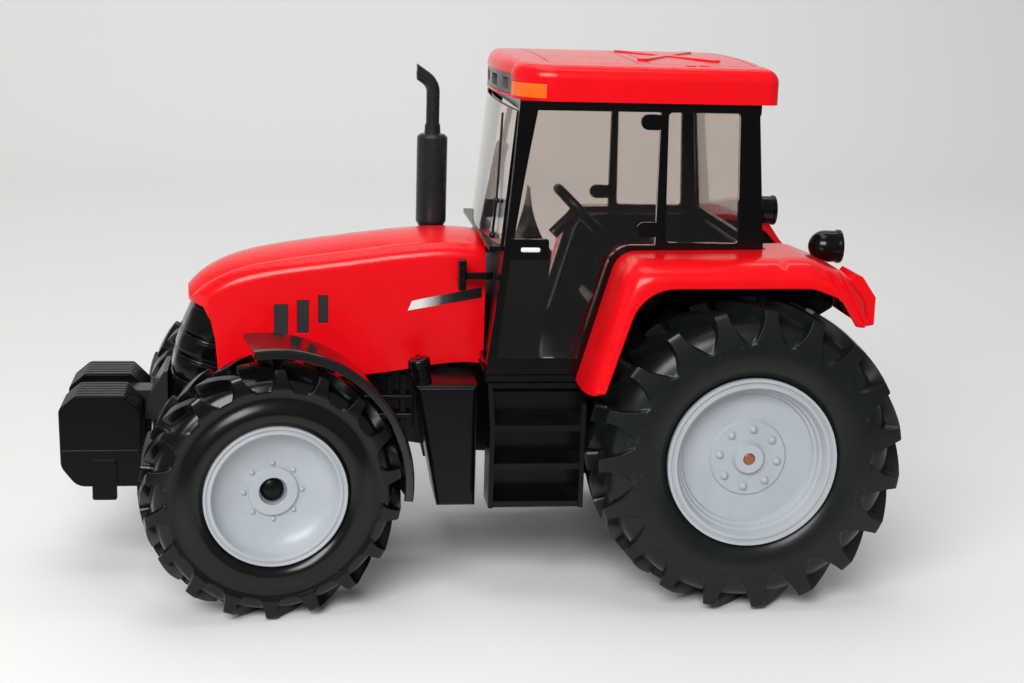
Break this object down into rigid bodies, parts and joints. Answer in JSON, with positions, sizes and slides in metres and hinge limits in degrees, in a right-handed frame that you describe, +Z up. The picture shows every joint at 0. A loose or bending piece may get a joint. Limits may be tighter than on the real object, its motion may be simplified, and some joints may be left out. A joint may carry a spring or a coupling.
{
  "type": "toy farm tractor",
  "caption": "Moulded toy farm tractor with steerable front wheels, turning rear wheels, glazed cab, front weights and a rear tow hitch.",
  "frame": {"origin": "on the ground, under the middle of the overall box", "axes": "+X forward, +Y to the tractor's left, +Z up"},
  "size_m": [0.3124, 0.1656, 0.2008],
  "materials": {
    "black_gloss": "gloss moulded",
    "black_satin": "satin moulded",
    "copper_pin": "plated",
    "front_rubber": "satin",
    "grey_panel": "printed",
    "orange_clear": "gloss",
    "rear_rubber": "matte",
    "red_gloss": "gloss moulded",
    "rim_grey": "satin moulded",
    "smoked_clear": "smoked clear"
  },
  "bodies": {
    "root": {"battery_box": "black_satin", "bonnet": "red_gloss", "cab_frame": "black_gloss", "cab_tub": "black_satin", "chassis": "black_satin", "dashboard": "black_satin", "exhaust": "black_gloss", "filler_cap": "black_gloss", "front_axle": "black_satin", "front_weights": "black_gloss", "fuel_tank": "black_satin", "grille": "black_gloss", "indicators": "black_gloss", "left_door_window": "smoked_clear", "left_fender": "red_gloss", "left_rear_side_window": "smoked_clear", "left_steps": "black_satin", "rear_axle": "copper_pin", "rear_window": "smoked_clear", "right_door_window": "smoked_clear", "right_fender": "red_gloss", "right_rear_side_window": "smoked_clear", "right_steps": "black_satin", "roof": "red_gloss", "roof_lamp_panel": "grey_panel", "seat": "black_satin", "side_markers": "orange_clear", "side_vents": "black_gloss", "steering_wheel": "black_satin", "tow_hitch": "black_satin", "weight_carrier": "black_satin", "windscreen": "smoked_clear", "wiper": "black_gloss", "work_lamps": "black_gloss"},
    "left_knuckle": {"left_knuckle": "black_satin", "left_front_fender": "black_gloss"},
    "right_knuckle": {"right_knuckle": "black_satin", "right_front_fender": "black_gloss"},
    "tie_rod": {"tie_rod": "black_satin"},
    "left_front_wheel": {"left_front_tyre": "front_rubber", "left_front_rim": "rim_grey"},
    "left_rear_wheel": {"left_rear_tyre": "rear_rubber", "left_rear_rim": "rim_grey"},
    "right_front_wheel": {"right_front_tyre": "front_rubber", "right_front_rim": "rim_grey"},
    "right_rear_wheel": {"right_rear_tyre": "rear_rubber", "right_rear_rim": "rim_grey"}
  },
  "joints": [
    {"name": "steering", "type": "hinge", "parent": "root", "child": "left_knuckle", "pos_m": [0.08025, 0.044, 0.047], "axis": [0, 0, 1], "range_deg": [-29, 11]},
    {"name": "right_steering", "type": "hinge", "parent": "root", "child": "right_knuckle", "pos_m": [0.08025, -0.044, 0.047], "axis": [0, 0, 1], "range_deg": [-29, 11]},
    {"name": "tie_rod_pin", "type": "hinge", "parent": "left_knuckle", "child": "tie_rod", "pos_m": [0.06445, 0.0415, 0.0435], "axis": [0, 0, 1], "range_deg": [-11, 29]},
    {"name": "left_front_spin", "type": "hinge", "parent": "left_knuckle", "child": "left_front_wheel", "pos_m": [0.07736, 0.06227, 0.047], "axis": [-0.1564, 0.9877, 0], "continuous": true},
    {"name": "left_rear_spin", "type": "hinge", "parent": "root", "child": "left_rear_wheel", "pos_m": [-0.09775, 0.0595, 0.0585], "axis": [0, 1, 0], "continuous": true},
    {"name": "right_front_spin", "type": "hinge", "parent": "right_knuckle", "child": "right_front_wheel", "pos_m": [0.08314, -0.06227, 0.047], "axis": [-0.1564, 0.9877, 0], "continuous": true},
    {"name": "right_rear_spin", "type": "hinge", "parent": "root", "child": "right_rear_wheel", "pos_m": [-0.09775, -0.0595, 0.0585], "axis": [0, 1, 0], "continuous": true}
  ],
  "couplings": [
    {"joint": "right_steering", "follows": "steering", "ratio": 1},
    {"joint": "tie_rod_pin", "follows": "steering", "ratio": -1}
  ]
}
